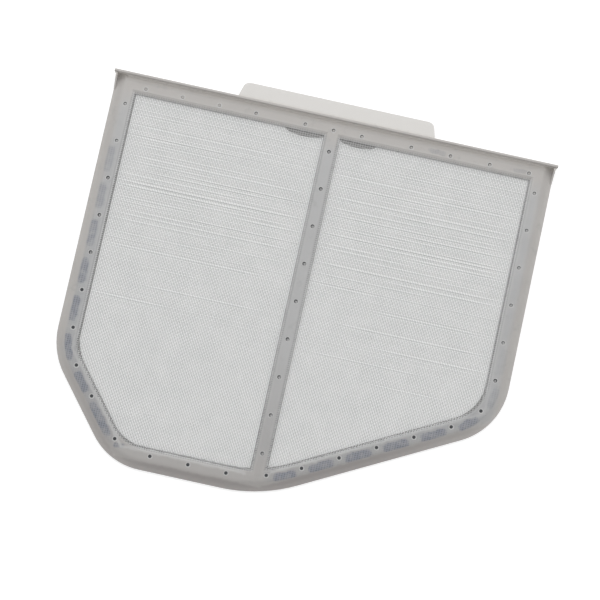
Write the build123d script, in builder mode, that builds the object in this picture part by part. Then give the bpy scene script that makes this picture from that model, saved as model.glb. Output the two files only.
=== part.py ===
from build123d import *
from itertools import accumulate
from math import cos, radians, sin, tan
import os

# A lint filter for a tumble dryer: one moulded frame round one woven screen.
# It lies on its flat underside, screen level, cap and finger tab towards +Y, lint side up.
# All sizes are in millimetres. The origin is the middle of the outline, on the underside.

# Outline of the border, seen from the lint side
frame_width = 333.8
frame_length = 285.2          # bottom edge to the outer face of the cap
left_cut_width = 58.1
left_cut_length = 71.0
right_cut_width = 162.6
right_cut_length = 85.6
left_side_radius = 52.7
left_bottom_radius = 48.0
right_bottom_radius = 118.0
right_side_radius = 50.0

# Section of the border, from its outer edge to the window
skirt_width = 2.6
skirt_height = 2.3
skirt_edge_radius = 0.6
flange_height = 5.0
step_slope = 62.0             # degrees from upright, lean of the step from skirt to flange
step_edge_radius = 5.0
cove_radius = 6.0             # hollow curve from the skirt into the step
border_width = 17.0           # outer edge to the edge of the window
bevel_width = 2.8
bevel_wall = 0.5              # plastic left standing between bevel and screen slot
bar_width = 12.6

# Cap along the top edge, its end gussets and the finger tab
cap_thickness = 2.1
cap_height = 9.5
cap_overhang = 1.2
cap_rim_radius = 0.6
cap_fillet_radius = 1.4       # hollow corner between cap and flange
cap_to_window = 12.5          # inner face of the cap to the edge of the windows
gusset_length = 12.3
gusset_thickness = 1.2
gusset_drop = 0.6             # how far a gusset stays below the rim
tab_reach = 12.4
tab_slope = 23.0              # degrees below level
tab_height = 8.2              # where the tab leaves the cap
tab_thickness = 1.8
tab_base_width = 149.0
tab_tip_width = 143.6
tab_tip_radius = 5.2
tab_base_radius = 5.5
tab_root = 0.8                # depth of the tab's root inside the cap

# Woven screen and the slot that holds its edge
screen_height = 2.5           # middle of the screen above the underside
screen_thickness = 0.9
screen_clearance = 0.05
screen_inset = 8.0            # outer edge of the border to the buried edge of the screen
screen_to_cap = 4.0           # inner face of the cap to the buried edge of the screen
gap_rows = 60
gap_waist_share = 0.46        # open part of each row, halfway through the screen
gap_mouth_share = 0.74        # open part of each row, at either face of the screen
gap_margin = 1.2              # plain edge left beside the border and the bar

# Pits of the mould pins that held the screen flat
pin_diameter = 2.4
pin_sides = 10
pin_inset = 11.4              # outer edge of the border to the pin line
pin_line_start = 21.6         # inner face of the cap to the first pin of either side
pin_pitch = 28.4
left_cut_pitches = [25.3, 35.6, 29.3]
right_corner_pitch = 25.1
right_end_pitch = 26.3
cap_pin_row = 7.7             # inner face of the cap to the row along it
cap_pin_groups = [(-142.9, 28.0, 4), (-21.5, 21.5, 3), (59.1, 29.8, 4)]   # first x, pitch, count
bar_pin_start = 24.1          # inner face of the cap to the first pin of the bar
bar_pin_pitch = 28.5
bar_pin_count = 9

# Places that follow from the sizes above
bottom_y = -(frame_length + tab_reach) / 2
cap_outer_y = bottom_y + frame_length
cap_inner_y = cap_outer_y - cap_thickness
window_top_y = cap_inner_y - cap_to_window
step_height = flange_height - skirt_height
step_run = step_height * tan(radians(step_slope)) + step_edge_radius * tan(radians(90 - step_slope) / 2)
slot_height = screen_thickness + 2 * screen_clearance
bevel_depth = flange_height - screen_height - slot_height / 2 - bevel_wall
underside_bevel_depth = screen_height - slot_height / 2 - bevel_wall
trim_length = 4 * cap_thickness     # spare length at the top that is cut off along the cap
tab_length = tab_reach / cos(radians(tab_slope))
tab_root_width = tab_base_width + 4 * tab_base_radius
gap_pitch = (window_top_y - bottom_y - border_width - 2 * gap_margin) / gap_rows
gap_middle_y = (window_top_y + bottom_y + border_width) / 2
gap_waist = gap_waist_share * gap_pitch / 2
gap_mouth = gap_mouth_share * gap_pitch / 2
gap_section = [
    (gap_waist, 0),
    (gap_mouth, screen_thickness / 2),
    (-gap_mouth, screen_thickness / 2),
    (-gap_waist, 0),
    (-gap_mouth, -screen_thickness / 2),
    (gap_mouth, -screen_thickness / 2),
]


def border_points(inset, top_y):
    """Corners of the border's outline, moved in by inset, from the left top round to the right top."""
    half_width = frame_width / 2
    corners = [
        Vector(-half_width, top_y),
        Vector(-half_width, bottom_y + left_cut_length),
        Vector(-half_width + left_cut_width, bottom_y),
        Vector(half_width - right_cut_width, bottom_y),
        Vector(half_width, bottom_y + right_cut_length),
        Vector(half_width, top_y),
    ]
    moved = [corners[0] + Vector(inset, 0)]
    for before, corner, after in zip(corners, corners[1:], corners[2:]):
        back = (before - corner).normalized()
        onward = (after - corner).normalized()
        half_angle = radians(back.get_angle(onward) / 2)
        moved.append(corner + (back + onward).normalized() * (inset / sin(half_angle)))
    moved.append(corners[-1] - Vector(inset, 0))
    return moved


def border_line(inset, top_y):
    """Rounded line that runs along the two sides and the bottom, open at the top."""
    radii = [left_side_radius, left_bottom_radius, right_bottom_radius, right_side_radius]
    return FilletPolyline(*border_points(inset, top_y), radius=[radius - inset for radius in radii])


def border_face(inset, top_y):
    """Face inside the rounded line, closed by a straight top edge."""
    with BuildLine() as outline:
        line = border_line(inset, top_y)
        Line(line @ 1, line @ 0)
    make_face(outline.edges())


def windows_sketch(margin):
    """Faces of the two windows, with every edge moved in by margin."""
    with BuildSketch(mode=Mode.PRIVATE) as windows:
        border_face(border_width + margin, window_top_y - margin)
        with Locations((0, gap_middle_y)):
            Rectangle(bar_width + 2 * margin, frame_length, mode=Mode.SUBTRACT)
    return windows.sketch


def pin_points():
    """Centres of all the pin pits: round the border, along the cap and down the bar."""
    with BuildLine(mode=Mode.PRIVATE) as pin_line:
        border_line(pin_inset, cap_inner_y - pin_line_start)
    wire = pin_line.wire()
    left_pitches = 7 * [pin_pitch] + left_cut_pitches + 2 * [pin_pitch]
    right_pitches = 5 * [pin_pitch] + 2 * [right_corner_pitch] + 4 * [pin_pitch] + [right_end_pitch]
    stations = list(accumulate(left_pitches, initial=0))
    stations += [wire.length - run for run in accumulate(right_pitches, initial=0)]
    points = [wire.position_at(station, position_mode=PositionMode.LENGTH) for station in stations]
    for first, pitch, count in cap_pin_groups:
        points += [Vector(first + pitch * i, cap_inner_y - cap_pin_row) for i in range(count)]
    points += [Vector(0, cap_inner_y - bar_pin_start - bar_pin_pitch * i) for i in range(bar_pin_count)]
    return points


# Frame: border, bar, cap, gussets and tab in one moulding
with BuildPart() as frame:
    # Low skirt all round, with softened outer edges
    with BuildSketch():
        border_face(0, cap_outer_y + trim_length)
    extrude(amount=skirt_height)
    fillet(frame.faces().sort_by(Axis.Z)[-1].edges(), radius=skirt_edge_radius)

    # Raised flange with a sloped, rounded step
    with BuildSketch(Plane.XY.offset(skirt_height)):
        border_face(skirt_width, cap_outer_y + trim_length)
    extrude(amount=step_height, taper=step_slope)
    fillet(frame.faces().sort_by(Axis.Z)[-1].edges(), radius=step_edge_radius)

    # Top edge cut off straight, then a cove where the step runs out into the skirt
    split(bisect_by=Plane(origin=(0, cap_outer_y, 0), z_dir=(0, 1, 0)), keep=Keep.BOTTOM)
    fillet(frame.edges().filter_by(Edge.is_interior), radius=cove_radius)

    # Both windows, bevelled towards the screen from either side
    with BuildSketch():
        add(windows_sketch(0))
    extrude(amount=flange_height, mode=Mode.SUBTRACT)
    lint_face = frame.faces().filter_by(Axis.Z).sort_by(Axis.Z)[-1]
    chamfer(lint_face.inner_wires().edges(), length=bevel_width, length2=bevel_depth, reference=lint_face)
    underside = frame.faces().filter_by(Axis.Z).sort_by(Axis.Z)[0]
    chamfer(
        underside.inner_wires().edges(),
        length=bevel_width,
        length2=underside_bevel_depth,
        reference=underside,
    )

    # Slot for the edge of the screen, which also runs through the bar
    with BuildSketch(Plane.XY.offset(screen_height)):
        border_face(screen_inset - screen_clearance, cap_inner_y - screen_to_cap + screen_clearance)
    extrude(amount=slot_height / 2, both=True, mode=Mode.SUBTRACT)

    # Pits of the mould pins, from both faces down to the screen
    with BuildSketch():
        with Locations(*pin_points()):
            RegularPolygon(pin_diameter / 2, side_count=pin_sides)
    extrude(amount=flange_height, mode=Mode.SUBTRACT)

    # Cap plate across the top edge
    with BuildSketch(Plane.YZ) as cap_section:
        with Locations((cap_outer_y - cap_thickness / 2, cap_height / 2)):
            Rectangle(cap_thickness, cap_height)
        fillet(cap_section.vertices().group_by(Axis.Y)[-1], radius=cap_rim_radius)
    extrude(amount=frame_width / 2 + cap_overhang, both=True)

    # Hollow corner between the cap and the flange
    with BuildSketch(Plane.YZ):
        corner = (cap_inner_y - cap_fillet_radius, flange_height + cap_fillet_radius)
        with Locations((cap_inner_y, flange_height)):
            Rectangle(cap_fillet_radius, cap_fillet_radius, align=(Align.MAX, Align.MIN))
        with Locations(corner):
            Circle(cap_fillet_radius, mode=Mode.SUBTRACT)
    extrude(amount=frame_width / 2 - skirt_width - step_run, both=True)

    # Triangular gusset at each end of the cap
    for side in (-1, 1):
        with BuildSketch(Plane.YZ.offset(side * (frame_width - gusset_thickness) / 2)):
            with BuildLine():
                Polyline(
                    (cap_inner_y - gusset_length, skirt_height),
                    (cap_inner_y, skirt_height),
                    (cap_inner_y, cap_height - gusset_drop),
                    close=True,
                )
            make_face()
        extrude(amount=gusset_thickness / 2, both=True)

    # Finger tab that slopes down from the cap
    tab_plane = Plane(origin=(0, cap_outer_y, tab_height), x_dir=(1, 0, 0), z_dir=(0, 0, 1))
    tab_plane = tab_plane.rotated((-tab_slope, 0, 0))
    with BuildSketch(tab_plane) as tab_outline:
        with BuildLine():
            Polyline(
                (-tab_root_width / 2, -tab_root),
                (-tab_root_width / 2, 0),
                (-tab_base_width / 2, 0),
                (-tab_tip_width / 2, tab_length),
                (tab_tip_width / 2, tab_length),
                (tab_base_width / 2, 0),
                (tab_root_width / 2, 0),
                (tab_root_width / 2, -tab_root),
                close=True,
            )
        make_face()
        base_corners, tip_corners = tab_outline.vertices().group_by(Axis.Y)[1:]
        fillet(tip_corners, radius=tab_tip_radius)
        fillet(base_corners.sort_by(Axis.X)[1:3], radius=tab_base_radius)
    extrude(amount=-tab_thickness)

# Woven screen: one wall of thread bands, six-sided in section, with open rows between them
with BuildPart() as mesh_screen:
    with BuildSketch(Plane.XY.offset(screen_height)):
        border_face(screen_inset, cap_inner_y - screen_to_cap)
    extrude(amount=screen_thickness / 2, both=True)
    with BuildPart(mode=Mode.PRIVATE) as open_rows:
        with BuildSketch(Plane.YZ):
            with Locations((gap_middle_y, screen_height)):
                with GridLocations(gap_pitch, 0, gap_rows, 1):
                    Polygon(*gap_section)
        extrude(amount=frame_width / 2, both=True)
        with BuildSketch(Plane.XY.offset(screen_height)):
            add(windows_sketch(gap_margin))
        extrude(amount=screen_thickness, both=True, mode=Mode.INTERSECT)
    add(open_rows.part, mode=Mode.SUBTRACT)

os.makedirs("parts", exist_ok=True)
for node, name in ((frame, "frame"), (mesh_screen, "mesh_screen")):
    node.part.label = name
    export_step(node.part, f"parts/{name}.step")
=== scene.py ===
import math

import bpy
import numpy as np
from mathutils import Matrix, Vector


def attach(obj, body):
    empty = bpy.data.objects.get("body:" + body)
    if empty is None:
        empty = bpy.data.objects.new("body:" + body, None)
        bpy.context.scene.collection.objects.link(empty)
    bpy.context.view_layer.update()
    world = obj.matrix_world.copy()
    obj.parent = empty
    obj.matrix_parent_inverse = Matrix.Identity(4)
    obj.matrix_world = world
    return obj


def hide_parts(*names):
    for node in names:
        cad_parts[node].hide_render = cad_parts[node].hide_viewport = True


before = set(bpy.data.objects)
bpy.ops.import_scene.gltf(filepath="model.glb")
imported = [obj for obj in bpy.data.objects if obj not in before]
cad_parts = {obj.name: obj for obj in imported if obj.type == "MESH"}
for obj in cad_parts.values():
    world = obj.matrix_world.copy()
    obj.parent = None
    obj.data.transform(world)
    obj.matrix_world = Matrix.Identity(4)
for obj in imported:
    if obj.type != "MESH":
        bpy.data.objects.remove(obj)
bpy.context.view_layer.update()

# A tumble dryer's lint filter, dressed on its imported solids. Lengths are in metres, in the part's own frame.
mm = 0.001

# Outline of the moulded border, as the part has it
frame_width = 333.8 * mm
bottom_y = -148.8 * mm
cap_inner_y = 134.3 * mm
window_top_y = 121.8 * mm
left_cut = Vector((58.1 * mm, 71.0 * mm))
right_cut = Vector((162.6 * mm, 85.6 * mm))
corner_radii = [52.7 * mm, 48.0 * mm, 118.0 * mm, 50.0 * mm]
bar_width = 12.6 * mm
border_width = 17.0 * mm

# Woven screen
screen_height = 2.5 * mm
screen_inset = 8.2 * mm
screen_top_y = 130.1 * mm
warp_pitch = 1.2139 * mm
weft_pitch = 1.0177 * mm
warp_radius = 0.225 * mm
weft_radius = 0.19 * mm
thread_sides = 3
crimp = 0.17 * mm
strip_edges = [-140, -63, -1, 62, 140]    # warp threads where the strips part, counted from the bar's middle
screen_reach = 150 * mm       # half the length the threads are woven to before they are trimmed

# Pits of the mould pins, from the top of either side round to the bottom, along the cap and down the bar
pin_inset = 11.4 * mm
pin_line_top_y = cap_inner_y - 21.6 * mm
left_pin_pitches = 7 * [28.4] + [25.3, 35.6, 29.3] + 2 * [28.4]
right_pin_pitches = 5 * [28.4] + 2 * [25.1] + 4 * [28.4] + [26.3]
cap_pin_y = cap_inner_y - 7.7 * mm
cap_pins = [-142.9, -114.9, -86.9, -58.9, -21.5, 0.0, 21.5, 59.1, 88.9, 118.7, 148.5]
bar_pin_top_y = cap_inner_y - 24.1 * mm
bar_pin_pitch = 28.5 * mm
bar_pin_count = 9
pit_low = 4.9 * mm            # underside of the thin rings that lie in and round the pits

# Patches between the pits where the screen shows through the plastic, each with a wider and fainter haze
patch_offset = 2.4 * mm       # outward from the pin line
patch_end_gap = 4.6 * mm      # pin to the end of the patch
patch_half_width = 3.2 * mm
haze_offset = 0.4 * mm
haze_overlap = 1.0 * mm       # past the pins at either end
haze_half_width = 6.0 * mm
haze_share = 0.26
left_strengths = {1: 0.45, 2: 0.55, 3: 0.75, 4: 0.85, 5: 0.9, 6: 1.0, 7: 1.0, 8: 1.0}
right_strengths = {
    1: 0.06, 2: 0.08, 3: 0.08, 4: 0.15, 5: 0.4, 6: 0.9, 7: 1.0, 8: 1.0, 9: 1.0, 10: 1.0, 11: 1.0,
}

# Single smudges of the same kind: x, y, half length and half width in millimetres, heading and strength
smudges = [
    (78.4, 127.4, 6.5, 1.6, -0.05, 0.4),
    (141.6, 126.9, 5.0, 1.3, 0.0, 0.28),
    (-103.4, -134.2, 4.2, 1.7, 0.1, 0.75),
]

# Loose threads of the screen
wander_step = 0.02            # millimetres from one warp thread to the next
thread_slots = 401            # threads numbered from -200 to 200 either way
streak_fade = 20 * mm         # length over which a slid thread comes back into line
slid_share = 0.62             # of a streak's looseness, taken up by the thread that slid
parted_share = 0.35           # and by the thread above it

def border_corners(inset, top_y):
    """Sharp corners of the border's outline, moved in by inset, from the left top round to the right top."""
    half = frame_width / 2
    corners = [
        Vector((-half, top_y)),
        Vector((-half, bottom_y + left_cut.y)),
        Vector((-half + left_cut.x, bottom_y)),
        Vector((half - right_cut.x, bottom_y)),
        Vector((half, bottom_y + right_cut.y)),
        Vector((half, top_y)),
    ]
    moved = [corners[0] + Vector((inset, 0))]
    for before, corner, after in zip(corners, corners[1:], corners[2:]):
        back = (before - corner).normalized()
        onward = (after - corner).normalized()
        half_angle = back.angle(onward) / 2
        moved.append(corner + (back + onward).normalized() * (inset / math.sin(half_angle)))
    moved.append(corners[-1] - Vector((inset, 0)))
    return moved


def border_line(inset, top_y, steps=12):
    """Points along the rounded border, open at the top."""
    corners = border_corners(inset, top_y)
    points = [corners[0]]
    for before, corner, after, radius in zip(corners, corners[1:], corners[2:], corner_radii):
        back = (before - corner).normalized()
        onward = (after - corner).normalized()
        half_angle = back.angle(onward) / 2
        inner = radius - inset
        centre = corner + (back + onward).normalized() * (inner / math.sin(half_angle))
        start = corner + back * (inner / math.tan(half_angle)) - centre
        end = corner + onward * (inner / math.tan(half_angle)) - centre
        turn = start.angle_signed(end)
        for step in range(steps + 1):
            points.append(centre + Matrix.Rotation(-turn * step / steps, 2) @ start)
    points.append(corners[-1])
    return points


def along(points, stations):
    """Places and headings at these distances along a line of points."""
    line = np.array([tuple(point) for point in points])
    steps = np.diff(line, axis=0)
    reached = np.concatenate([[0], np.cumsum(np.hypot(*steps.T))])
    places = []
    for station in stations:
        at = [float(np.interp(station, reached, line[:, axis])) for axis in (0, 1)]
        leg = min(int(np.searchsorted(reached, station, side="right")) - 1, len(steps) - 1)
        places.append((Vector(at), math.atan2(steps[leg][1], steps[leg][0])))
    return places


def linear(code):
    """Linear colour of an sRGB hex value."""
    parts = [int(code[i:i + 2], 16) / 255 for i in (1, 3, 5)]
    return [c / 12.92 if c <= 0.04045 else ((c + 0.055) / 1.055) ** 2.4 for c in parts] + [1.0]


def add_node(tree, kind, inputs=(), out=0, **settings):
    """Adds one shader node and returns one output; a socket gets a value or another node's output."""
    made = tree.nodes.new(kind)
    for name, value in settings.items():
        setattr(made, name, value)
    for socket, value in dict(inputs).items():
        if isinstance(value, bpy.types.NodeSocket):
            tree.links.new(value, made.inputs[socket])
        else:
            made.inputs[socket].default_value = value
    return made.outputs[out] if len(made.outputs) else None


def new_material(name):
    """An empty node material and its tree."""
    material = bpy.data.materials.new(name)
    material.use_nodes = True
    material.node_tree.nodes.clear()
    return material, material.node_tree


pin_line = border_line(pin_inset, pin_line_top_y)
pin_line_length = sum((b - a).length for a, b in zip(pin_line, pin_line[1:]))
left_stations = np.concatenate([[0], np.cumsum(left_pin_pitches)]) * mm
right_stations = pin_line_length - np.concatenate([[0], np.cumsum(right_pin_pitches)]) * mm


def patches():
    """Where the screen lies just under the plastic: middle, heading, half length, half width and strength."""
    found = []
    for stations, strengths in ((left_stations, left_strengths), (right_stations, right_strengths)):
        for pin, strength in strengths.items():
            middle = (stations[pin] + stations[pin + 1]) / 2
            half_gap = abs(stations[pin + 1] - stations[pin]) / 2
            place, heading = along(pin_line, [middle])[0]
            outward = Vector((math.sin(heading), -math.cos(heading)))
            found.append((place + outward * patch_offset, heading, half_gap - patch_end_gap, patch_half_width,
                          strength))
            found.append((place + outward * haze_offset, heading, half_gap + haze_overlap, haze_half_width,
                          haze_share * strength))
    for x, y, half_length, half_width, heading, strength in smudges:
        found.append((Vector((x * mm, y * mm)), heading, half_length * mm, half_width * mm, strength))
    return found


def window_depth(tree, coords):
    """Distance in from the border's outer edge, and distance past the edge of the nearer window side."""
    corners = border_corners(0, window_top_y + border_width)
    inset = None
    for start, end in zip(corners, corners[1:] + corners[:1]):
        inward = Vector((-(end - start).y, (end - start).x)).normalized()
        dot = add_node(tree, "ShaderNodeVectorMath", {0: coords, 1: (inward.x, inward.y, 0)}, "Value",
                       operation="DOT_PRODUCT")
        reach = add_node(tree, "ShaderNodeMath", {0: dot, 1: inward.dot(start)}, operation="SUBTRACT")
        inset = reach if inset is None else add_node(tree, "ShaderNodeMath", {0: inset, 1: reach},
                                                      operation="MINIMUM")
    past_border = add_node(tree, "ShaderNodeMath", {0: inset, 1: border_width}, operation="SUBTRACT")
    sideways = add_node(tree, "ShaderNodeSeparateXYZ", {0: coords}, "X")
    sideways = add_node(tree, "ShaderNodeMath", {0: sideways}, operation="ABSOLUTE")
    past_bar = add_node(tree, "ShaderNodeMath", {0: sideways, 1: bar_width / 2}, operation="SUBTRACT")
    depth = add_node(tree, "ShaderNodeMath", {0: past_border, 1: past_bar}, operation="MINIMUM")
    return inset, depth


def moulded_plastic():
    """Grey polypropylene, moulded satin: a soft sheen, faint flow marks, the weave just under its skin."""
    material, tree = new_material("moulded_grey_polypropylene")
    coords = tree.nodes.new("ShaderNodeTexCoord").outputs["Object"]
    split = tree.nodes.new("ShaderNodeSeparateXYZ")
    tree.links.new(coords, split.inputs[0])
    height = split.outputs["Z"]

    # Weave dots, drawn at one and a half times the thread pitches because they are too fine to show
    turns = add_node(tree, "ShaderNodeVectorMath", {
        0: coords, 1: (math.pi / (1.5 * warp_pitch), math.pi / (1.5 * weft_pitch), 0),
    }, operation="MULTIPLY")
    waves = add_node(tree, "ShaderNodeVectorMath", {0: turns}, operation="SINE")
    wave = tree.nodes.new("ShaderNodeSeparateXYZ")
    tree.links.new(waves, wave.inputs[0])
    product = add_node(tree, "ShaderNodeMath", {0: wave.outputs["X"], 1: wave.outputs["Y"]},
                       operation="MULTIPLY")
    dots = add_node(tree, "ShaderNodeMath", {0: product, 1: product}, operation="MULTIPLY")

    # Patches between the pins where the screen floated up against the mould
    tatter = add_node(tree, "ShaderNodeTexNoise", {"Vector": coords, "Scale": 1 / (4 * mm), "Detail": 4.0},
                      "Color")
    ragged = add_node(tree, "ShaderNodeVectorMath", {
        0: tatter, 1: (3.2 * mm, 3.2 * mm, 0), 2: (-1.6 * mm, -1.6 * mm, 0),
    }, operation="MULTIPLY_ADD")
    ragged = add_node(tree, "ShaderNodeVectorMath", {0: coords, 1: ragged}, operation="ADD")
    inset, depth = window_depth(tree, ragged)
    shown = None
    for place, heading, half_length, half_width, strength in patches():
        local = add_node(tree, "ShaderNodeMapping", {
            "Vector": ragged,
            "Location": (place.x, place.y, 0),
            "Rotation": (0, 0, heading),
            "Scale": (half_length, half_width, 1),
        }, vector_type="TEXTURE")
        square = add_node(tree, "ShaderNodeVectorMath", {0: local, 1: local}, operation="MULTIPLY")
        fourth = add_node(tree, "ShaderNodeVectorMath", {0: square, 1: square}, "Value",
                          operation="DOT_PRODUCT")
        fade = add_node(tree, "ShaderNodeMapRange", {
            "Value": fourth, "From Min": 1.9, "From Max": 0.35, "To Max": strength,
        }, interpolation_type="SMOOTHSTEP")
        shown = fade if shown is None else add_node(tree, "ShaderNodeMath", {0: shown, 1: fade},
                                                     operation="MAXIMUM")
    on_flange = add_node(tree, "ShaderNodeMapRange", {
        "Value": height, "From Min": 4.0 * mm, "From Max": 4.6 * mm,
    })
    blotch = add_node(tree, "ShaderNodeTexNoise", {"Vector": coords, "Scale": 1 / (5 * mm), "Detail": 3.0})
    uneven = add_node(tree, "ShaderNodeMapRange", {
        "Value": blotch, "From Min": 0.35, "From Max": 0.6, "To Min": 0.6,
    })
    shown = add_node(tree, "ShaderNodeMath", {0: shown, 1: on_flange}, operation="MULTIPLY")
    shown = add_node(tree, "ShaderNodeMath", {0: shown, 1: uneven}, operation="MULTIPLY")

    # Thin lip of the windows, where the threads come out of the plastic
    level = add_node(tree, "ShaderNodeMath", {0: height, 1: screen_height}, operation="SUBTRACT")
    level = add_node(tree, "ShaderNodeMath", {0: level}, operation="ABSOLUTE")
    lip = add_node(tree, "ShaderNodeMapRange", {"Value": level, "From Min": 2.35 * mm, "From Max": 1.6 * mm})
    inside = add_node(tree, "ShaderNodeMapRange", {
        "Value": depth, "From Min": -4.5 * mm, "From Max": -4.0 * mm,
    })
    lip = add_node(tree, "ShaderNodeMath", {0: lip, 1: inside}, operation="MULTIPLY")
    cleaner = add_node(tree, "ShaderNodeMapRange", {
        "Value": split.outputs["Y"], "From Min": 121.7 * mm, "From Max": 122.5 * mm,
        "To Min": 1.0, "To Max": 0.35,
    })
    lip = add_node(tree, "ShaderNodeMath", {0: lip, 1: cleaner}, operation="MULTIPLY")

    # Row of dark dots right along the edge, painted shade of the gaps where the threads go into the plastic,
    # drawn coarser because the real gaps are too fine to show
    slant = 2 * math.pi / (1.4 * mm)
    gap_shade = add_node(tree, "ShaderNodeVectorMath", {0: coords, 1: (slant, -0.6 * slant, 0)}, "Value",
                     operation="DOT_PRODUCT")
    gap_shade = add_node(tree, "ShaderNodeMath", {0: gap_shade}, operation="SINE")
    gap_shade = add_node(tree, "ShaderNodeMapRange", {
        "Value": gap_shade, "From Min": -0.2, "From Max": 0.6, "To Max": 0.5,
    })
    near = add_node(tree, "ShaderNodeMath", {0: depth, 1: 0.5 * mm}, operation="ADD")
    near = add_node(tree, "ShaderNodeMath", {0: near}, operation="ABSOLUTE")
    near = add_node(tree, "ShaderNodeMapRange", {"Value": near, "From Min": 0.75 * mm, "From Max": 0.35 * mm})
    gap_shade = add_node(tree, "ShaderNodeMath", {0: gap_shade, 1: near}, operation="MULTIPLY")
    gap_shade = add_node(tree, "ShaderNodeMath", {0: gap_shade, 1: lip}, operation="MULTIPLY")

    # The finger tab is thin enough to let some light through; that light is painted in as a paler colour
    painted_tab_light = add_node(tree, "ShaderNodeMapRange", {
        "Value": split.outputs["Y"], "From Min": 136.0 * mm, "From Max": 138.5 * mm,
    })

    # Plain grey inside the border and on the bar, a little yellowed along the skirt and under the cap
    cloud = add_node(tree, "ShaderNodeTexNoise", {"Vector": coords, "Scale": 1 / (22 * mm), "Detail": 4.0})
    yellowed = add_node(tree, "ShaderNodeMix", {0: cloud, 6: linear("#ACA9A6"), 7: linear("#B6B3B0")}, 2,
                        data_type="RGBA")
    plain = add_node(tree, "ShaderNodeMix", {0: cloud, 6: linear("#A8A8A8"), 7: linear("#B1B1B1")}, 2,
                     data_type="RGBA")
    sheltered = add_node(tree, "ShaderNodeMapRange", {
        "Value": inset, "From Min": 5.0 * mm, "From Max": 10.0 * mm,
    })
    below_cap = add_node(tree, "ShaderNodeMapRange", {
        "Value": split.outputs["Y"], "From Min": 124.0 * mm, "From Max": 108.0 * mm,
    })
    above_end = add_node(tree, "ShaderNodeMapRange", {
        "Value": split.outputs["Y"], "From Min": -130.0 * mm, "From Max": -112.0 * mm, "To Min": 0.3,
    })
    sheltered = add_node(tree, "ShaderNodeMath", {0: sheltered, 1: below_cap}, operation="MULTIPLY")
    sheltered = add_node(tree, "ShaderNodeMath", {0: sheltered, 1: above_end}, operation="MULTIPLY")
    grey = add_node(tree, "ShaderNodeMix", {0: sheltered, 6: yellowed, 7: plain}, 2, data_type="RGBA")

    # Painted shade darkening the lower skirt and, more faintly, the whole lower part, painted light lifting
    # the shadow under the cap, and faint smudges all over
    outer = add_node(tree, "ShaderNodeMapRange", {"Value": inset, "From Min": 8.0 * mm, "From Max": 5.5 * mm})
    lower = add_node(tree, "ShaderNodeMapRange", {
        "Value": split.outputs["Y"], "From Min": -40.0 * mm, "From Max": -105.0 * mm,
    })
    rightward = add_node(tree, "ShaderNodeMapRange", {
        "Value": split.outputs["X"], "From Min": -140.0 * mm, "From Max": -70.0 * mm, "To Min": 0.45,
    })
    painted_low_shade = add_node(tree, "ShaderNodeMath", {0: outer, 1: lower}, operation="MULTIPLY")
    painted_low_shade = add_node(tree, "ShaderNodeMath", {0: painted_low_shade, 1: rightward}, operation="MULTIPLY")
    low_falloff_shade = add_node(tree, "ShaderNodeMath", {0: lower, 1: 0.35}, operation="MULTIPLY")
    painted_low_shade = add_node(tree, "ShaderNodeMath", {0: painted_low_shade, 1: low_falloff_shade}, operation="MAXIMUM")
    grey = add_node(tree, "ShaderNodeMix", {0: painted_low_shade, 6: grey, 7: linear("#989492")}, 2, data_type="RGBA")
    # Painted light: the flange just below the cap is painted paler to lift the cap's shadow
    painted_cap_light = add_node(tree, "ShaderNodeMapRange", {
        "Value": split.outputs["Y"], "From Min": cap_inner_y - 3.6 * mm, "From Max": cap_inner_y - 1.2 * mm,
        "To Max": 0.8,
    })
    on_top = add_node(tree, "ShaderNodeMapRange", {
        "Value": height, "From Min": 8.3 * mm, "From Max": 8.9 * mm,
    })
    low_down = add_node(tree, "ShaderNodeMath", {0: 1.0, 1: on_top}, operation="SUBTRACT")
    painted_cap_light = add_node(tree, "ShaderNodeMath", {0: painted_cap_light, 1: low_down}, operation="MULTIPLY")
    grey = add_node(tree, "ShaderNodeMix", {0: painted_cap_light, 6: grey, 7: linear("#CDC9C4")}, 2, data_type="RGBA")
    # Painted shade: a darker band along the inner edge of the cap's top
    rim = add_node(tree, "ShaderNodeMapRange", {
        "Value": split.outputs["Y"], "From Min": cap_inner_y + 1.1 * mm, "From Max": cap_inner_y + 0.3 * mm,
        "To Max": 0.6,
    })
    rim = add_node(tree, "ShaderNodeMath", {0: rim, 1: on_top}, operation="MULTIPLY")
    grey = add_node(tree, "ShaderNodeMix", {0: rim, 6: grey, 7: linear("#8F8B87")}, 2, data_type="RGBA")
    streaky = add_node(tree, "ShaderNodeTexNoise", {"Vector": coords, "Scale": 1 / (7 * mm), "Detail": 6.0,
                                                    "Roughness": 0.65})
    smudge = add_node(tree, "ShaderNodeMapRange", {"Value": streaky, "From Min": 0.58, "From Max": 0.74,
                                                   "To Max": 0.4})
    grey = add_node(tree, "ShaderNodeMix", {0: smudge, 6: grey, 7: linear("#949493")}, 2, data_type="RGBA")

    grey = add_node(tree, "ShaderNodeMix", {0: painted_tab_light, 6: grey, 7: linear("#CDCBC8")}, 2, data_type="RGBA")
    weave = add_node(tree, "ShaderNodeMix", {0: dots, 6: linear("#888B92"), 7: linear("#5C5F69")}, 2,
                     data_type="RGBA")
    edge = add_node(tree, "ShaderNodeMix", {0: dots, 6: linear("#BEBEBE"), 7: linear("#565656")}, 2,
                    data_type="RGBA")
    film = add_node(tree, "ShaderNodeMix", {0: dots, 6: linear("#979796"), 7: linear("#3A3A3A")}, 2,
                    data_type="RGBA")
    over_screen = add_node(tree, "ShaderNodeMapRange", {
        "Value": depth, "From Min": 0.05 * mm, "From Max": 0.3 * mm,
    })
    edge = add_node(tree, "ShaderNodeMix", {0: over_screen, 6: edge, 7: film}, 2, data_type="RGBA")
    colour = add_node(tree, "ShaderNodeMix", {0: shown, 6: grey, 7: weave}, 2, data_type="RGBA")
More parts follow.
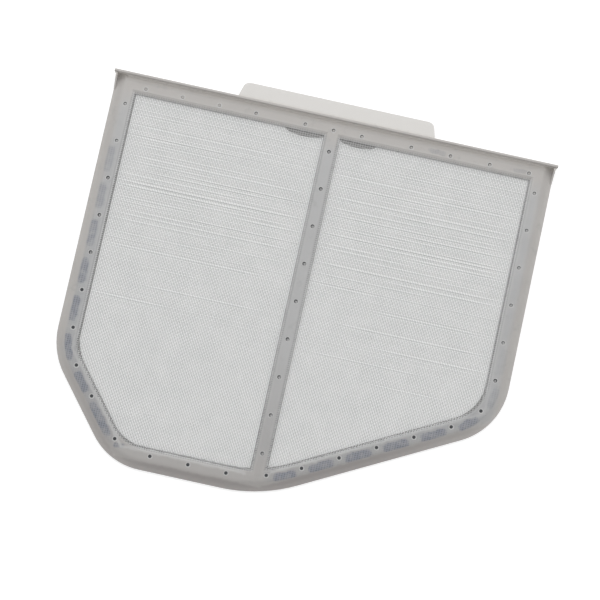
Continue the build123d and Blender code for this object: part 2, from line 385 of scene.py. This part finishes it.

    # Pale band painted along the windows' bevels as the highlight their top edge catches, most of all low down
    painted_edge_highlight = add_node(tree, "ShaderNodeMath", {0: depth, 1: 2.7 * mm}, operation="ADD")
    painted_edge_highlight = add_node(tree, "ShaderNodeMath", {0: painted_edge_highlight}, operation="ABSOLUTE")
    painted_edge_highlight = add_node(tree, "ShaderNodeMapRange", {
        "Value": painted_edge_highlight, "From Min": 1.5 * mm, "From Max": 0.4 * mm,
    })
    edge_highlight_low_down = add_node(tree, "ShaderNodeMapRange", {"Value": lower, "To Min": 0.18, "To Max": 0.65})
    painted_edge_highlight = add_node(tree, "ShaderNodeMath", {0: painted_edge_highlight, 1: edge_highlight_low_down}, operation="MULTIPLY")
    off_bar = add_node(tree, "ShaderNodeMath", {0: split.outputs["X"]}, operation="ABSOLUTE")
    off_bar = add_node(tree, "ShaderNodeMapRange", {
        "Value": off_bar, "From Min": 8.0 * mm, "From Max": 9.0 * mm, "To Min": 0.2,
    })
    painted_edge_highlight = add_node(tree, "ShaderNodeMath", {0: painted_edge_highlight, 1: off_bar}, operation="MULTIPLY")
    colour = add_node(tree, "ShaderNodeMix", {0: painted_edge_highlight, 6: colour, 7: linear("#BBBBBA")}, 2,
                      data_type="RGBA")

    # The lip and the painted shade of its thread gaps lie over all the rest, and that painted shade is darker
    # low down
    colour = add_node(tree, "ShaderNodeMix", {0: lip, 6: colour, 7: edge}, 2, data_type="RGBA")
    gap_shade_low_down = add_node(tree, "ShaderNodeMapRange", {"Value": lower, "To Min": 0.8, "To Max": 1.8})
    gap_shade = add_node(tree, "ShaderNodeMath", {0: gap_shade, 1: gap_shade_low_down}, operation="MULTIPLY")
    colour = add_node(tree, "ShaderNodeMix", {0: gap_shade, 6: colour, 7: linear("#515151")}, 2, data_type="RGBA")

    # Spark-eroded mould grain, drawn at 0.9 mm because the real 0.2 mm grain is too fine to show
    grain = add_node(tree, "ShaderNodeTexNoise", {"Vector": coords, "Scale": 1 / (0.9 * mm), "Detail": 2.0})
    rough = add_node(tree, "ShaderNodeMapRange", {"Value": cloud, "To Min": 0.42, "To Max": 0.56})
    bump = add_node(tree, "ShaderNodeBump", {"Height": grain, "Strength": 0.12, "Distance": 0.1 * mm})
    shader = add_node(tree, "ShaderNodeBsdfPrincipled", {
        "Base Color": colour, "Roughness": rough, "IOR": 1.49, "Normal": bump,
        "Subsurface Weight": 0.4, "Subsurface Radius": (1.0, 1.0, 1.0), "Subsurface Scale": 2 * mm,
    })
    add_node(tree, "ShaderNodeOutputMaterial", {"Surface": shader})
    return material


def monofilament():
    """Clear nylon monofilament, drawn and woven: pale grey, smooth, with a soft lengthwise shine."""
    material, tree = new_material("woven_nylon_monofilament")
    coords = tree.nodes.new("ShaderNodeTexCoord").outputs["Object"]
    cloud = add_node(tree, "ShaderNodeTexNoise", {"Vector": coords, "Scale": 1 / (16 * mm), "Detail": 5.0})
    tone = add_node(tree, "ShaderNodeMapRange", {"Value": cloud, "From Min": 0.35, "From Max": 0.65})
    colour = add_node(tree, "ShaderNodeMix", {0: tone, 6: linear("#B9BBBA"), 7: linear("#C3C4C3")}, 2,
                      data_type="RGBA")

    # Along the windows the plastic has run a little way out along the threads; the same dark colour also
    # stands for painted shade on the threads beside the window walls, reaching further in at the bottom
    depth = window_depth(tree, coords)[1]
    wander = add_node(tree, "ShaderNodeTexNoise", {"Vector": coords, "Scale": 1 / (2 * mm), "Detail": 3.0})
    run_out = add_node(tree, "ShaderNodeMapRange", {
        "Value": wander, "From Min": 0.42, "From Max": 0.72, "To Min": -0.9 * mm, "To Max": 0.5 * mm,
    })
    low_end = add_node(tree, "ShaderNodeSeparateXYZ", {0: coords}, "Y")
    low_end = add_node(tree, "ShaderNodeMapRange", {
        "Value": low_end, "From Min": -120 * mm, "From Max": -128 * mm, "To Max": 1.0 * mm,
    })
    run_out = add_node(tree, "ShaderNodeMath", {0: run_out, 1: low_end}, operation="ADD")
    past = add_node(tree, "ShaderNodeMath", {0: depth, 1: run_out}, operation="SUBTRACT")
    flash_and_shade = add_node(tree, "ShaderNodeMapRange", {
        "Value": past, "From Min": 0.1 * mm, "From Max": -0.1 * mm,
    })
    colour = add_node(tree, "ShaderNodeMix", {0: flash_and_shade, 6: colour, 7: linear("#6C6D6D")}, 2,
                      data_type="RGBA")
    fine = add_node(tree, "ShaderNodeTexNoise", {"Vector": coords, "Scale": 1 / (1.5 * mm), "Detail": 2.0})
    rough = add_node(tree, "ShaderNodeMapRange", {"Value": fine, "To Min": 0.3, "To Max": 0.5})
    bump = add_node(tree, "ShaderNodeBump", {"Height": fine, "Strength": 0.05, "Distance": 0.05 * mm})
    shader = add_node(tree, "ShaderNodeBsdfPrincipled", {
        "Base Color": colour, "Roughness": rough, "IOR": 1.53, "Normal": bump,
    })
    add_node(tree, "ShaderNodeOutputMaterial", {"Surface": shader})
    return material


def painted_pit_shade():
    """Painted shade for the pits, coloured as dark grey fluff, dull and uneven."""
    material, tree = new_material("painted_pit_shade_grey")
    coords = tree.nodes.new("ShaderNodeTexCoord").outputs["Object"]
    fluff = add_node(tree, "ShaderNodeTexNoise", {"Vector": coords, "Scale": 1 / (0.8 * mm), "Detail": 4.0})
    colour = add_node(tree, "ShaderNodeMix", {0: fluff, 6: linear("#333436"), 7: linear("#4E4F51")}, 2,
                      data_type="RGBA")
    rough = add_node(tree, "ShaderNodeMapRange", {"Value": fluff, "To Min": 0.85, "To Max": 1.0})
    bump = add_node(tree, "ShaderNodeBump", {"Height": fluff, "Strength": 0.4, "Distance": 0.2 * mm})
    shader = add_node(tree, "ShaderNodeBsdfPrincipled", {
        "Base Color": colour, "Roughness": rough, "Normal": bump,
    })
    add_node(tree, "ShaderNodeOutputMaterial", {"Surface": shader})
    return material


def burnished_highlight_plastic():
    """The same polypropylene pressed smooth by the mould pins, shinier round each pit, and painted paler as
    the highlight the pits' edges catch.
    """
    material, tree = new_material("burnished_highlight_polypropylene")
    coords = tree.nodes.new("ShaderNodeTexCoord").outputs["Object"]
    worn = add_node(tree, "ShaderNodeTexNoise", {"Vector": coords, "Scale": 1 / (6 * mm), "Detail": 3.0})
    colour = add_node(tree, "ShaderNodeMix", {0: worn, 6: linear("#AFAFAE"), 7: linear("#C4C4C3")}, 2,
                      data_type="RGBA")
    rough = add_node(tree, "ShaderNodeMapRange", {"Value": worn, "To Min": 0.28, "To Max": 0.42})
    bump = add_node(tree, "ShaderNodeBump", {"Height": worn, "Strength": 0.05, "Distance": 0.1 * mm})
    shader = add_node(tree, "ShaderNodeBsdfPrincipled", {
        "Base Color": colour, "Roughness": rough, "IOR": 1.49, "Normal": bump,
    })
    add_node(tree, "ShaderNodeOutputMaterial", {"Surface": shader})
    return material


def threads(lengthwise, first, last, count):
    """Parallel wavy threads as one object: one full wave is drawn, then repeated along and across."""
    bpy.ops.object.select_all(action="DESELECT")
    start = -count // 2
    start -= (start + first) % 2
    if lengthwise:
        place = (first * warp_pitch, start * weft_pitch, screen_height + crimp)
        turn, radius = (math.pi / 2, 0, 0), warp_radius
        step, across = Vector((0, weft_pitch, 0)), Vector((warp_pitch, 0, 0))
        waves, rows = count // 2 + 2, last - first
    else:
        # Two threads early, because every second row of the weft starts one thread later
        place = ((first - 2) * warp_pitch, start * weft_pitch, screen_height - crimp)
        turn, radius = (0, math.pi / 2, 0), weft_radius
        step, across = Vector((warp_pitch, 0, 0)), Vector((0, weft_pitch, 0))
        waves, rows = (last - first + 3) // 2, count + 2
    dip = Vector((0, 0, -2 * crimp if lengthwise else 2 * crimp))
    bpy.ops.mesh.primitive_circle_add(vertices=thread_sides, radius=radius, location=place, rotation=turn)
    piece = bpy.context.object
    bpy.ops.object.transform_apply(location=True, rotation=True, scale=True)
    bpy.ops.object.mode_set(mode="EDIT")
    bpy.ops.mesh.select_all(action="SELECT")
    bpy.ops.mesh.extrude_region_move(TRANSFORM_OT_translate={"value": step + dip})
    bpy.ops.mesh.extrude_region_move(TRANSFORM_OT_translate={"value": step - dip})
    bpy.ops.object.mode_set(mode="OBJECT")
    for name, shift, copies in (("waves", 2 * step, waves), ("pair", across + step, 2),
                                ("rows", 2 * across, (rows + 1) // 2)):
        repeat = piece.modifiers.new(name, "ARRAY")
        repeat.use_relative_offset = False
        repeat.use_constant_offset = True
        repeat.constant_offset_displace = shift
        repeat.count = copies
        repeat.use_merge_vertices = name == "waves"
        repeat.merge_threshold = 0.01 * mm
        bpy.ops.object.modifier_apply(modifier=name)
    return piece


def trim(piece, keep):
    """Deletes the faces that keep doesn't name, then closes the open ends."""
    mesh = piece.data
    mesh.vertices.foreach_set("select", np.zeros(len(mesh.vertices), bool))
    mesh.edges.foreach_set("select", np.zeros(len(mesh.edges), bool))
    mesh.polygons.foreach_set("select", ~keep)
    bpy.context.tool_settings.mesh_select_mode = (False, False, True)
    bpy.ops.object.mode_set(mode="EDIT")
    bpy.ops.mesh.delete(type="FACE")
    bpy.ops.mesh.select_mode(type="EDGE")
    bpy.ops.mesh.select_all(action="DESELECT")
    bpy.ops.mesh.select_non_manifold(use_wire=False, use_multi_face=False, use_non_contiguous=False,
                                     use_verts=False)
    bpy.ops.mesh.mark_sharp()
    bpy.ops.mesh.fill_holes(sides=thread_sides)
    bpy.ops.mesh.select_all(action="SELECT")
    bpy.ops.mesh.normals_make_consistent(inside=False)
    bpy.ops.object.mode_set(mode="OBJECT")


def ring(name, outer, inner, shift, low, high):
    """Flat ring with its hole off centre by shift, so that it is wider on one side."""
    bpy.ops.object.select_all(action="DESELECT")
    bpy.ops.mesh.primitive_circle_add(vertices=20, radius=outer, fill_type="NGON", location=(0, 0, low))
    piece = bpy.context.object
    piece.name = name
    bpy.ops.object.transform_apply(location=True, rotation=True, scale=True)
    bpy.ops.object.mode_set(mode="EDIT")
    bpy.ops.mesh.select_mode(type="FACE")
    bpy.ops.mesh.select_all(action="SELECT")
    bpy.ops.mesh.inset(thickness=outer - inner)
    bpy.ops.transform.translate(value=shift)
    bpy.ops.mesh.delete(type="FACE")
    bpy.ops.mesh.select_all(action="SELECT")
    bpy.ops.mesh.extrude_region_move(TRANSFORM_OT_translate={"value": (0, 0, high - low)})
    bpy.ops.mesh.select_all(action="SELECT")
    bpy.ops.mesh.normals_make_consistent(inside=False)
    bpy.ops.object.mode_set(mode="OBJECT")
    return piece


def stub(name, radius, low, high):
    """Short round stub with softened edges."""
    bpy.ops.object.select_all(action="DESELECT")
    bpy.ops.mesh.primitive_cylinder_add(vertices=16, radius=radius, depth=high - low,
                                        location=(0, 0, (low + high) / 2))
    piece = bpy.context.object
    piece.name = name
    bpy.ops.object.transform_apply(location=True, rotation=True, scale=True)
    bpy.ops.object.mode_set(mode="EDIT")
    bpy.ops.mesh.select_all(action="SELECT")
    bpy.ops.mesh.bevel(offset=0.17 * mm, segments=2, affect="EDGES")
    bpy.ops.object.mode_set(mode="OBJECT")
    bpy.ops.object.shade_smooth_by_angle(angle=math.radians(50))
    return piece


def copied_to(piece, places):
    """Copies a finished piece to each place and joins the copies into it."""
    copies = []
    for place in places[1:]:
        bpy.ops.object.select_all(action="DESELECT")
        piece.select_set(True)
        bpy.context.view_layer.objects.active = piece
        bpy.ops.object.duplicate()
        bpy.context.object.location = (place.x, place.y, 0)
        copies.append(bpy.context.object)
    piece.location = (places[0].x, places[0].y, 0)
    bpy.ops.object.select_all(action="DESELECT")
    for copy in copies + [piece]:
        copy.select_set(True)
    bpy.context.view_layer.objects.active = piece
    bpy.ops.object.transform_apply(location=True, rotation=True, scale=True)
    bpy.ops.object.join()


def inside_screen(x, y):
    """Whether points lie inside the screen's outline, which is convex."""
    outline = np.array([tuple(point) for point in border_line(screen_inset, screen_top_y)])
    held = np.ones(len(x), bool)
    for start, end in zip(outline, np.roll(outline, -1, axis=0)):
        leg = end - start
        held &= leg[0] * (y - start[1]) - leg[1] * (x - start[0]) > 0
    return held


def spread(piece):
    """Moves the threads off their even spacing, as the loom and use have left them."""
    generator = np.random.default_rng(7)
    warp_wander = np.cumsum(generator.normal(0, wander_step, thread_slots)) * mm
    warp_wander -= np.linspace(warp_wander[0], warp_wander[-1], thread_slots)
    weft_jitter = generator.normal(0, 1, thread_slots)
    flat = np.empty(3 * len(piece.data.vertices), np.float32)
    piece.data.vertices.foreach_get("co", flat)
    place = flat.reshape(-1, 3).astype(float)
    middle = thread_slots // 2
    column = np.rint(place[:, 0] / warp_pitch).astype(int)
    row = np.rint(place[:, 1] / weft_pitch).astype(int)

    # The weft is looser towards the cap
    looseness = np.interp(place[:, 1], [-0.09, 0.06], [0.02, 0.10]) * mm
    shift = weft_jitter[row + middle] * looseness
    for height, left, right, opening in streaks:
        beyond = row - round(height * mm / weft_pitch)
        reach = np.clip((place[:, 0] - left * mm) / streak_fade, 0, 1)
        reach *= np.clip((right * mm - place[:, 0]) / streak_fade, 0, 1)
        shift += (parted_share * (beyond == 1) - slid_share * (beyond == 0)) * reach * opening * mm
    place[:, 0] += warp_wander[column + middle]
    place[:, 1] += shift
    piece.data.vertices.foreach_set("co", place.astype(np.float32).ravel())
    piece.data.update()


# Weft threads that have slid against the next one: height, left end, right end and looseness, in millimetres
streaks = [
    (108, -150, -90, 0.5), (99, -150, -30, 0.5), (91, -150, -100, 0.7), (87, -150, -60, 0.6),
    (80, -140, -20, 0.6), (76, -150, -6, 0.9), (72, -150, -70, 0.7), (69, -110, -6, 0.7),
    (62, -150, -50, 0.6), (57, -150, -6, 0.9), (54, -150, -40, 0.8), (50, -120, -6, 0.7),
    (45, -150, -80, 0.6), (39, -100, -6, 0.5), (33, -150, -6, 0.9), (29, -150, -60, 0.6),
    (18, -150, -50, 0.5), (9, -150, -20, 0.7), (-3, -130, -60, 0.4), (-16, -120, -20, 0.5),
    (-28, -150, -90, 0.5), (104, 40, 130, 0.4), (95, 6, 110, 0.5), (88, 6, 100, 0.7),
    (82, 30, 150, 0.6), (78, 6, 150, 0.9), (74, 50, 150, 0.8), (70, 6, 90, 0.6),
    (65, 6, 150, 0.8), (61, 60, 150, 0.7), (56, 6, 80, 0.6), (51, 6, 150, 0.9),
    (48, 40, 150, 0.8), (43, 6, 60, 0.5), (36, 30, 120, 0.5), (28, 6, 150, 0.9),
    (24, 60, 150, 0.8), (12, 6, 70, 0.5), (1, 50, 150, 0.5), (-13, 30, 150, 0.7),
    (-25, 60, 150, 0.7), (-38, 10, 110, 0.5), (-52, 60, 125, 0.4), (93, -140, -60, 0.5),
    (84, -150, -100, 0.5), (66, -130, -30, 0.6), (60, -90, -6, 0.5), (47, -60, -6, 0.7),
    (42, -150, -100, 0.5), (36, -140, -70, 0.6), (22, -90, -6, 0.5), (91, 60, 150, 0.6),
    (68, 90, 150, 0.7), (58, 30, 110, 0.6), (53, 90, 150, 0.6), (45, 70, 150, 0.7),
    (40, 6, 80, 0.6), (33, 80, 150, 0.6), (20, 6, 100, 0.5),
]

# Woven screen, in strips side by side so that no piece has too many faces
screen_material = monofilament()
rows = 2 * math.ceil(screen_reach / weft_pitch)
for number, (first, last) in enumerate(zip(strip_edges, strip_edges[1:]), 1):
    warp = threads(True, first, last, rows)
    centre = np.empty(3 * len(warp.data.polygons), np.float32)
    warp.data.polygons.foreach_get("center", centre)
    centre = centre.reshape(-1, 3)
    column = np.rint(centre[:, 0] / warp_pitch)
    keep = inside_screen(column * warp_pitch, centre[:, 1]) & (column < last)
    trim(warp, keep)

    weft = threads(False, first, last, rows)
    centre = np.empty(3 * len(weft.data.polygons), np.float32)
    weft.data.polygons.foreach_get("center", centre)
    centre = centre.reshape(-1, 3)
    row = np.rint(centre[:, 1] / weft_pitch)
    keep = inside_screen(centre[:, 0], row * weft_pitch)
    keep &= (centre[:, 0] > first * warp_pitch) & (centre[:, 0] < last * warp_pitch)
    trim(weft, keep)

    bpy.ops.object.select_all(action="DESELECT")
    warp.select_set(True)
    weft.select_set(True)
    bpy.context.view_layer.objects.active = warp
    bpy.ops.object.join()
    bpy.ops.object.shade_smooth()
    warp.name = f"woven_screen_strip_{number}"
    warp.data.name = warp.name
    spread(warp)
    warp.data.materials.append(screen_material)
    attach(warp, "root")
    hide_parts("mesh_screen")

# Moulded frame
plastic = moulded_plastic()
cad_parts["frame"].data.materials.clear()
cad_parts["frame"].data.materials.append(plastic)

# Thin flash of plastic that ran over the screen on either side of the bar's top
for side, middle, half_length in (("left", -20.5 * mm, 15.0 * mm), ("right", 19.5 * mm, 14.0 * mm)):
    bpy.ops.object.select_all(action="DESELECT")
    bpy.ops.mesh.primitive_circle_add(vertices=40, radius=1, fill_type="NGON",
                                      location=(middle, window_top_y, screen_height + 0.45 * mm))
    flash = bpy.context.object
    flash.name = f"{side}_flash"
    flash.scale = (half_length, 3.6 * mm, 1)
    bpy.ops.object.transform_apply(location=True, rotation=True, scale=True)
    bpy.ops.object.mode_set(mode="EDIT")
    bpy.ops.mesh.select_all(action="SELECT")
    bpy.ops.mesh.extrude_region_move(TRANSFORM_OT_translate={"value": (0, 0, -0.4 * mm)})
    bpy.ops.mesh.select_all(action="SELECT")
    bpy.ops.mesh.normals_make_consistent(inside=False)
    bpy.ops.object.mode_set(mode="OBJECT")
    flash.data.materials.append(plastic)
    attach(flash, "root")

# Pits of the mould pins: pips of plastic, dark discs and crescents of painted shade, and burnished rims
# painted paler as highlights
left_pins = [place for place, heading in along(pin_line, left_stations)]
right_pins = [place for place, heading in along(pin_line, right_stations)]
faint_pit_places = [Vector((x * mm, cap_pin_y)) for x in cap_pins] + left_pins[:2] + right_pins[:5]
crescent_places = [Vector((0, bar_pin_top_y - bar_pin_pitch * i)) for i in range(bar_pin_count)]
crescent_places += left_pins[2:5] + right_pins[5:6]
dark_pit_places = left_pins[5:] + right_pins[6:]

pips = stub("pin_pips", 0.72 * mm, 3.25 * mm, 4.75 * mm)
copied_to(pips, crescent_places)
broad_pips = stub("broad_pin_pips", 0.98 * mm, 3.25 * mm, 4.85 * mm)
copied_to(broad_pips, faint_pit_places)
# Dark discs in the lower pits: painted shade
plugs = stub("pit_shade_plugs", 1.35 * mm, 4.57 * mm, 5.07 * mm)
copied_to(plugs, dark_pit_places)
# Dark crescents on the pit's side towards the light, where its near wall is in shadow: painted shade
crescents = ring("pit_shade_crescents", 1.42 * mm, 0.95 * mm, (0.16 * mm, -0.2 * mm, 0), pit_low, 5.05 * mm)
copied_to(crescents, crescent_places)
# Thinner crescents of painted shade in the fainter pits
slivers = ring("pit_shade_slivers", 1.3 * mm, 1.02 * mm, (0.15 * mm, -0.18 * mm, 0), pit_low, 5.03 * mm)
copied_to(slivers, faint_pit_places[3:])
# Pale rims, wider on the lower side where the pit's far wall catches the light: burnished, with a painted
# highlight
rims = ring("pit_rims", 2.0 * mm, 1.4 * mm, (-0.12 * mm, 0.15 * mm, 0), pit_low, 5.04 * mm)
copied_to(rims, faint_pit_places + crescent_places + dark_pit_places)
pit_shade_finish = painted_pit_shade()
for piece, finish, slot in ((pips, plastic, "frame_plastic"), (broad_pips, plastic, "frame_plastic"),
                            (plugs, pit_shade_finish, "screen_weave"), (crescents, pit_shade_finish, "screen_weave"),
                            (slivers, pit_shade_finish, "screen_weave"),
                            (rims, burnished_highlight_plastic(), "frame_plastic")):
    piece.data.materials.clear()
    piece.data.materials.append(finish)
    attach(piece, "root")

# Floor of plain white paper, which stays white to the eye and keeps the part's shadow
bpy.ops.object.select_all(action="DESELECT")
bpy.ops.mesh.primitive_plane_add(size=6, location=(0, 0, -0.02 * mm))
floor = bpy.context.object
floor.name = "floor"
floor_material, tree = new_material("white_paper")
path = tree.nodes.new("ShaderNodeLightPath")
seen = add_node(tree, "ShaderNodeMath", {0: path.outputs["Is Camera Ray"], 1: path.outputs["Is Glossy Ray"]},
                operation="MAXIMUM")
seen = add_node(tree, "ShaderNodeMath", {0: seen, 1: path.outputs["Is Transmission Ray"]},
                operation="MAXIMUM")
glow = add_node(tree, "ShaderNodeMath", {0: seen, 1: 0.62}, operation="MULTIPLY")
paper = add_node(tree, "ShaderNodeBsdfDiffuse", {"Color": linear("#BFBFBF")})
white = add_node(tree, "ShaderNodeEmission", {"Color": linear("#FFFFFF"), "Strength": glow})
both = add_node(tree, "ShaderNodeAddShader", {0: paper, 1: white})
add_node(tree, "ShaderNodeOutputMaterial", {"Surface": both})
floor.data.materials.append(floor_material)

# Soft studio light: an even white surround and one large panel beyond the cap
world = bpy.data.worlds.new("studio")
world.use_nodes = True
tree = world.node_tree
tree.nodes.clear()
path = tree.nodes.new("ShaderNodeLightPath")
seen = add_node(tree, "ShaderNodeMath", {0: path.outputs["Is Camera Ray"], 1: path.outputs["Is Glossy Ray"]},
                operation="MAXIMUM")
strength = add_node(tree, "ShaderNodeMapRange", {"Value": seen, "To Min": 0.68, "To Max": 1.0})
surround = add_node(tree, "ShaderNodeBackground", {"Color": linear("#FFFFFF"), "Strength": strength})
add_node(tree, "ShaderNodeOutputWorld", {"Surface": surround})
bpy.context.scene.world = world

panel = bpy.data.lights.new("panel", "AREA")
panel.shape = "RECTANGLE"
panel.size = 1.8
panel.size_y = 0.7
panel.energy = 9.5
lamp = bpy.data.objects.new("panel", panel)
bpy.context.scene.collection.objects.link(lamp)
lamp.location = (-0.1, 0.8, 1.05)
lamp.rotation_euler = (Vector((0, 0, 0)) - lamp.location).to_track_quat("-Z", "Y").to_euler()

# Camera, nearly square on to the screen
camera = bpy.data.cameras.new("camera")
camera.sensor_width = 36
camera.lens = 81.51
viewer = bpy.data.objects.new("camera", camera)
bpy.context.scene.collection.objects.link(viewer)
turned = Matrix.Rotation(0.0745, 4, "X") @ Matrix.Rotation(0.0058, 4, "Y") @ Matrix.Rotation(0.2167, 4, "Z")
viewer.matrix_world = Matrix.Translation((8.52 * mm, -76.6 * mm, 1002.2 * mm)) @ turned
bpy.context.scene.camera = viewer

bpy.context.scene.view_settings.view_transform = "Standard"
bpy.context.view_layer.update()
